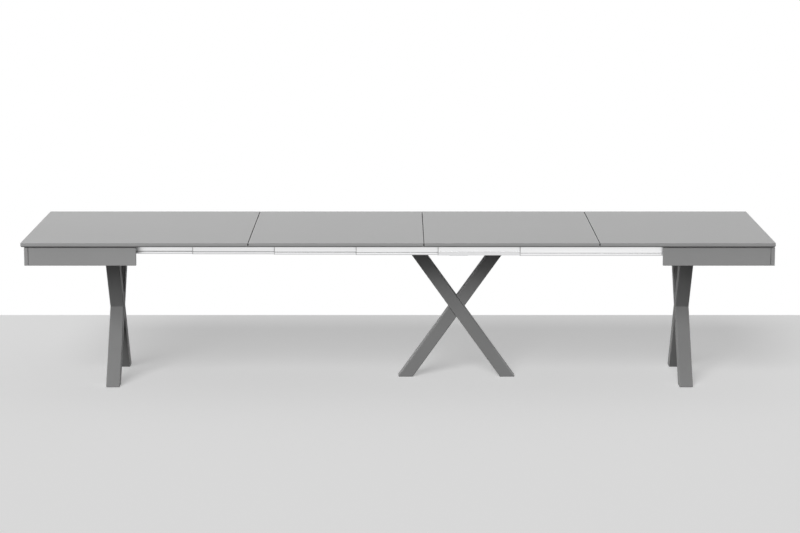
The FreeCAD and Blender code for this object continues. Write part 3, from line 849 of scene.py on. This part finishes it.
for leg in legs:
    welds = [corner_fillet(leg, *sides) for sides in SIGN_PAIRS]
    welds += [head_bead(leg, side) for side in (1, -1)]
    piece(leg["name"] + "_welds", welds, leg_coat, body_of(leg["name"] + "_through_bar"))
print("welds on each leg:", len(welds))

# %% [markdown]
# ## Bolts and nuts
# Hexagon bolts hold the leg plates to the beams, and the middle leg's top bar to its carrier. A
# hexagon bar is cut to length and its corners are turned off by a cone, which leaves the curved tops
# of the flats. The same happens here in numbers: the radius at a height and an angle is the smaller
# of the hexagon's and the cone's. A bolt, its shank and its nut are one stack of such loops.

# %% One bolt
ACROSS_FLATS, BOLT_RADIUS = 13 * MILLIMETRE, 4 * MILLIMETRE
HEAD_HEIGHT, NUT_HEIGHT = 5.3 * MILLIMETRE, 6.5 * MILLIMETRE
WASHER_FACE, THREAD_DEPTH = 0.3 * MILLIMETRE, 0.35 * MILLIMETRE
BOLT_SIDES, CHAMFER_ROWS = 48, 5
BOLT_ANGLES = np.linspace(0, 2 * math.pi, BOLT_SIDES, endpoint=False)
HEXAGON = ACROSS_FLATS / 2 / np.cos(np.mod(BOLT_ANGLES, math.pi / 3) - math.pi / 6)
CHAMFER_FACE, CHAMFER_ANGLE = 0.46 * ACROSS_FLATS, math.radians(30)
CHAMFER_DEPTH = (HEXAGON.max() - CHAMFER_FACE) * math.tan(CHAMFER_ANGLE)


def hex_bolt(x, y, bottom, top):
    """Rows of (height, largest radius): chamfered head, washer face, shank, nut with two chamfers and
    the sunk end of the thread. Each loop's radius is min(hexagon, largest radius)."""
    head_top, nut_seat = bottom + HEAD_HEIGHT, top - NUT_HEIGHT
    chamfer = np.linspace(0, 1, CHAMFER_ROWS)
    cone = CHAMFER_FACE + chamfer * (HEXAGON.max() - CHAMFER_FACE)
    depth = chamfer * CHAMFER_DEPTH
    washer = head_top - WASHER_FACE
    heights = np.concatenate([
        bottom + depth, [washer, washer, head_top, head_top, nut_seat],
        nut_seat + depth, top - depth[::-1], [top, top - THREAD_DEPTH]])
    largest = np.concatenate([
        cone, [cone[-1], CHAMFER_FACE, CHAMFER_FACE, BOLT_RADIUS, BOLT_RADIUS],
        cone, cone[::-1], [BOLT_RADIUS, BOLT_RADIUS - THREAD_DEPTH]])
    radius = np.minimum(HEXAGON, largest[:, None])
    points = np.stack([x + radius * np.cos(BOLT_ANGLES), y + radius * np.sin(BOLT_ANGLES),
                       np.broadcast_to(heights[:, None], radius.shape)], axis=-1)
    return points, stacked(radius.shape), 0.0


print("chamfer", round(CHAMFER_DEPTH / MILLIMETRE, 2), "mm deep")

# %% [markdown]
# The middle leg has its four bolts at the corners of their box. An end leg has one on each side of
# either arm, clear of the tube, so their places follow from the lean.

# %% Bolts
BOLT_EDGE = 14 * MILLIMETRE
for leg in legs:
    node = leg["name"] + "_bolts"
    low, high = corners(node)
    if leg["name"] == "middle_leg":
        reach_x = (high[0] - low[0]) / 2 - HEXAGON.max()
        reach_y = (high[1] - low[1]) / 2 - ACROSS_FLATS / 2
        places = [(leg["centre"][0] + i * reach_x, j * reach_y) for i, j in SIGN_PAIRS]
    else:
        arm = (leg["top"] - leg["centre"][2]) * math.tan(leg["lean"])
        step = leg["depth"] / 2 / math.cos(leg["lean"]) + BOLT_EDGE
        places = [(leg["centre"][0], i * arm + j * step) for i, j in SIGN_PAIRS]
    bolts = [hex_bolt(x, y, low[2], high[2]) for x, y in places]
    piece(node + "_hexagon", bolts, zinc, body_of(node), [node])
print("bolts on each leg:", len(bolts))

# %% [markdown]
# ## Screws
# Pan-head screws hold the hangers, the corner blocks and the cleats. The head is a low dome over a
# disc, with a cross-shaped recess pressed into it. The recess could be cut out, but then its edges
# would be sharp; here the height is the dome's less the recess, both functions of radius and angle.

# %% One screw
SCREW_RADIUS, SCREW_RISE, SCREW_RIM = 4.2 * MILLIMETRE, 2.4 * MILLIMETRE, 0.9 * MILLIMETRE
CROSS_WIDTH, CROSS_REACH, CROSS_DEPTH = 0.55 * MILLIMETRE, 2.3 * MILLIMETRE, 1.3 * MILLIMETRE
SIDE_FADE, END_FADE = 1.6, 1.25
SCREW_SINK = 0.2 * SCREW_RIM
SCREW_SIDES, SCREW_ROWS, SCREW_TIP = 48, 18, 0.02
SCREW_ANGLES = np.linspace(0, 2 * math.pi, SCREW_SIDES, endpoint=False)
SCREW_SHARES = np.concatenate([[1.0], np.linspace(1, SCREW_TIP, SCREW_ROWS)])[:, None]


def smooth_step(value, start, end):
    """0 up to start, 1 from end on, and 3 s^2 - 2 s^3 between."""
    share = np.clip((value - start) / (end - start), 0, 1)
    return share ** 2 * (3 - 2 * share)


def pan_screw(seat, outwards):
    """Dome rim + rise sqrt(1 - r^2), less a cross recess that fades with its distance from the arms,
    on a rim sunk a little into its seat. It may look any way but along X."""
    outwards = np.array(outwards) / np.linalg.norm(outwards)
    right = np.cross(X_AXIS, outwards)
    right /= np.linalg.norm(right)
    ahead = np.cross(outwards, right)
    radius = SCREW_SHARES * SCREW_RADIUS
    across, along = radius * np.cos(SCREW_ANGLES), radius * np.sin(SCREW_ANGLES)
    off_arm = np.minimum(np.abs(across), np.abs(along))
    arms = 1 - smooth_step(off_arm, CROSS_WIDTH, SIDE_FADE * CROSS_WIDTH)
    cross = arms * (1 - smooth_step(radius, CROSS_REACH, END_FADE * CROSS_REACH))
    dome = SCREW_RIM + (SCREW_RISE - SCREW_RIM) * np.sqrt(1 - SCREW_SHARES ** 2)
    rise = dome - CROSS_DEPTH * cross
    rise[0] = -SCREW_SINK
    points = np.array(seat) + (across[..., None] * right + along[..., None] * ahead
                               + rise[..., None] * outwards)
    return points, stacked(points.shape[:2]), 0.0


print("one screw head has", SCREW_SHARES.size * SCREW_ANGLES.size, "points")

# %% [markdown]
# Where the screws sit follows from the boxes of what they hold: two under each hanger's shelf, two on
# the slanted face of each corner block and five up through each cleat. All screws of one end ride
# with that end.

# %% Screw places
DOWN = -UP
HANGER_SPREAD, HANGER_IN = 16 * MILLIMETRE, 14 * MILLIMETRE
BLOCK_NOSE, BLOCK_SPREAD = 6 * MILLIMETRE, 8 * MILLIMETRE
CLEAT_SPREAD = np.linspace(-0.9, 0.9, 5)


def hanger_screws(side):
    """Two heads under each shelf, near its free edge."""
    low, high = corners(side + "_beam_hangers")
    middle, reach = (low[0] + high[0]) / 2, high[1] - HANGER_IN
    shelf = [(middle + i * HANGER_SPREAD, j * reach, low[2]) for i, j in SIGN_PAIRS]
    return [pan_screw(place, DOWN) for place in shelf]


def block_screws(side, towards):
    """Two heads, one above the other, in the middle of each block's slanted face."""
    low, high = corners(side + "_corner_blocks")
    near = low[0] if towards > 0 else high[0]
    size = high[0] - low[0]
    middle_z = (low[2] + high[2]) / 2
    reach = (size + BLOCK_NOSE) / 2
    found = []
    for j in (1, -1):
        place = np.array([near + towards * reach, j * (high[1] - reach), middle_z])
        face = (towards, -j, 0)
        found += [pan_screw(place + k * BLOCK_SPREAD * UP, face) for k in (1, -1)]
    return found


def cleat_screws(node):
    """A row of heads along the underside."""
    low, high = corners(node)
    return [pan_screw(((low[0] + high[0]) / 2, share * high[1], low[2]), DOWN) for share in CLEAT_SPREAD]


for side, towards, cleat in (("left", 1, "left_top_cleat"), ("right", -1, "right_leaf_cleat")):
    screws = hanger_screws(side) + block_screws(side, towards) + cleat_screws(cleat)
    piece(side + "_frame_screws", screws, zinc, body_of(cleat))
    print(side, "screws:", len(screws))

# %% [markdown]
# ## Camera
# The picture is taken square to the table from about thirteen metres with a long lens, from a little
# over two and a half metres up. A shifted lens would keep the uprights parallel. The camera is tilted
# down instead, so the table stays in the middle of other views. The values were fitted to the table's
# corners, seams and feet.

# %% Camera
CAMERA_PLACE = (0.0094, -12.8679, 2.6497)
CAMERA_PITCH = 9.218
CAMERA_LENS = 116.137
camera_data = bpy.data.cameras.new("portrait_camera")
camera_data.lens = CAMERA_LENS
camera = bpy.data.objects.new("portrait_camera", camera_data)
camera.location = CAMERA_PLACE
camera.rotation_euler = (math.radians(90 - CAMERA_PITCH), 0, 0)
bpy.context.scene.collection.objects.link(camera)
bpy.context.scene.camera = camera
print("lens", CAMERA_LENS, "mm")

# %% [markdown]
# ## Floor
# The floor is a plain pale sheet. In the light that suits the table a matt sheet would be mid grey,
# and more light would bleach the table. So about half of what the eye sees is a glow that lights
# nothing, and the rest is matt and takes the shadow. In a reflection it is nearly all glow, with a
# painted shadow below the table. It sends little light back up, so the underside stays as dark as below a
# real top.

# %% Floor
FLOOR_HALF = 40.0
FLOOR_PALE, FLOOR_GLOW = linear(247), 0.366
FLOOR_RETURN, FLOOR_ROUGH = 0.06, 0.9
MIRROR_MATT, MIRROR_GLOW, MIRROR_PAINTED_SHADOW = 0.12, 0.87, 0.52
BELOW_EDGE, BELOW_CLEAR = 0.55, 1.5
ANY_BOUNCE = 0.5


def ray_kinds(tree):
    """Two values: 1 for camera rays, and 1 for rays that reach the eye by a reflection or through glass,
    with no matt surface on their way."""
    rays = add(tree, "ShaderNodeLightPath").outputs
    mirrored = arithmetic(tree, "MAXIMUM", rays["Is Glossy Ray"], rays["Is Transmission Ray"])
    straight = arithmetic(tree, "LESS_THAN", rays["Diffuse Depth"], ANY_BOUNCE)
    return rays["Is Camera Ray"], times(tree, mirrored, straight)


def stage_sheet(name, sheet, material):
    """One large four-cornered sheet that is no part of the table."""
    mesh = bpy.data.meshes.new(name)
    mesh.from_pydata(sheet, [], [(0, 1, 2, 3)])
    mesh.materials.append(material)
    made = bpy.data.objects.new(name, mesh)
    bpy.context.scene.collection.objects.link(made)
    made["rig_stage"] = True
    return made


def pale_floor(tree, place):
    """To the eye part glow and part matt grey, so that the shadow stays light; a reflection sees more
    of the glow, with a painted shadow below the table, and to the table's underside it is dark."""
    eye, mirrored = ray_kinds(tree)
    unseen = blend(tree, mirrored, FLOOR_RETURN, MIRROR_MATT)
    axes = add(tree, "ShaderNodeSeparateXYZ", {"Vector": place}).outputs
    off_middle = arithmetic(tree, "ABSOLUTE", axes["Y"], 0)
    # Painted shadow: in reflections the floor's glow dims below the table, near the middle.
    shadowed_mirror_glow = spread(tree, off_middle, MIRROR_PAINTED_SHADOW, MIRROR_GLOW, BELOW_EDGE, BELOW_CLEAR)
    eye_glow = times(tree, eye, FLOOR_GLOW)
    mirror_glow = times(tree, mirrored, shadowed_mirror_glow)
    return {
        "Base Color": blend(tree, eye, unseen, FLOOR_PALE),
        "Roughness": FLOOR_ROUGH,
        "Specular IOR Level": 0,
        "Emission Color": (1, 1, 1, 1),
        "Emission Strength": plus(tree, eye_glow, mirror_glow),
    }


half = FLOOR_HALF
sheet = [(-half, -half, 0), (half, -half, 0), (half, half, 0), (-half, half, 0)]
floor = stage_sheet("studio_floor", sheet, finish("pale_floor", pale_floor))
print("floor pale at", round(FLOOR_PALE, 3))

# %% [markdown]
# ## Backdrop
# A white backdrop meets the floor a little way behind the table. A plain sheet would hide the table
# from behind. This one shows only from the front, and neither lights nor shades anything.

# %% Backdrop
BACKDROP_LINE = 1.72


def white_backdrop(tree, place):
    """White from the front and clear from behind, in place of the usual shader."""
    behind = add(tree, "ShaderNodeNewGeometry").outputs["Backfacing"]
    white = add(tree, "ShaderNodeEmission", {"Color": (1, 1, 1, 1), "Strength": 1.0}).outputs[0]
    clear = add(tree, "ShaderNodeBsdfTransparent").outputs[0]
    shown = add(tree, "ShaderNodeMixShader", {0: behind, 1: white, 2: clear}).outputs[0]
    plug(tree, tree.nodes["Material Output"], {"Surface": shown})
    return {}


back = BACKDROP_LINE
sheet = [(-half, back, 0), (half, back, 0), (half, back, half), (-half, back, half)]
backdrop = stage_sheet("studio_backdrop", sheet, finish("white_backdrop", white_backdrop))
for rays in ("diffuse", "glossy", "transmission", "shadow"):
    setattr(backdrop, "visible_" + rays, False)
print("backdrop", BACKDROP_LINE, "m behind the middle")

# %% [markdown]
# ## Light
# A weak dome gives every face a little. An image of a studio could do that, but a plain level is
# easier to set against the lamps. Where the dome is seen or mirrored it is white, as the backdrop is.

# %% Dome
DOME_LEVEL = 0.14
world = bpy.data.worlds.new("studio_dome")
world.use_nodes = True
bpy.context.scene.world = world
tree = world.node_tree
seen = arithmetic(tree, "MAXIMUM", *ray_kinds(tree))
level = spread(tree, seen, DOME_LEVEL, 1.0, 0, 1)
plug(tree, tree.nodes["Background"], {"Strength": level, "Color": (1, 1, 1, 1)})
bpy.context.scene.view_settings.view_transform = "Standard"
print("dome", DOME_LEVEL)

# %% [markdown]
# A soft far lamp straight above lights mostly the top. A second far lamp lights the fronts from about
# thirty degrees up, so the overhang of the top throws a soft shadow over the heads of the legs. A
# lower square lamp before the left end lifts that shadow and gives the left end a little more than
# the right. A square lamp behind and one off each end do the same for the other sides, so the table
# can be turned round. Of the lamps only the front one reaches the floor, since several shadows and
# bright pools there would say nothing about the table.

# %% Lamps
# Far lamps: direction, level and angle. Square lamps: place, level and size.
FAR_LAMPS = {
    "overhead_lamp": ((0, 0, 1), 0.28, math.radians(55)),
    "front_lamp": ((-0.23, -0.84, 0.5), 0.42, math.radians(30)),
}
LAMP_TARGET = (0, 0, 0.45)
SQUARE_LAMPS = {
    "low_front_lamp": ((-5.5, -11.0, 3.2), 0.28, 5),
    "back_lamp": ((-2.8, 10.1, 6.9), 0.4, 4),
    "left_lamp": ((-12.0, 0.0, 1.2), 0.44, 2),
    "right_lamp": ((12.0, 0.0, 1.2), 0.44, 2),
}
FLOOR_LAMP = "front_lamp"


def hang_lamp(name, kind, direction, energy):
    """A lamp of one kind that shines from a direction."""
    lamp = bpy.data.lights.new(name, kind)
    lamp.energy = energy
    made = bpy.data.objects.new(name, lamp)
    made.rotation_euler = Vector(direction).to_track_quat("Z", "Y").to_euler()
    bpy.context.scene.collection.objects.link(made)
    return made


def make_far_lamp(name, direction, level, spread_angle):
    """A lamp at infinity; at a level of 1 a white card that faces it would show as white."""
    made = hang_lamp(name, "SUN", direction, level * math.pi)
    made.data.angle = spread_angle
    return made


def make_square_lamp(name, place, level, size):
    """A square lamp turned to the target; a card there that faces it would show at the level, so
    its power is level * pi^2 * distance^2."""
    away = Vector(place) - Vector(LAMP_TARGET)
    made = hang_lamp(name, "AREA", away, level * math.pi ** 2 * away.length_squared)
    made.data.size = size
    made.location = place
    made.visible_camera = made.visible_glossy = False
    return made


lamps = {name: make_far_lamp(name, *values) for name, values in FAR_LAMPS.items()}
lamps |= {name: make_square_lamp(name, *values) for name, values in SQUARE_LAMPS.items()}
all_but_floor = bpy.data.collections.new("all_but_floor")
all_but_floor.objects.link(floor)
all_but_floor.collection_objects[0].light_linking.link_state = "EXCLUDE"
for name, lamp in lamps.items():
    if name != FLOOR_LAMP:
        lamp.light_linking.receiver_collection = all_but_floor
print("lamps", list(lamps))

# %% [markdown]
# ## Size of the dressed table
# The dressed table has to stay inside the box of its construction, so its box is written down.

# %% Size of the dressed table
low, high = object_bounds()
print("visual box", [round(v, 4) for v in low], [round(v, 4) for v in high])
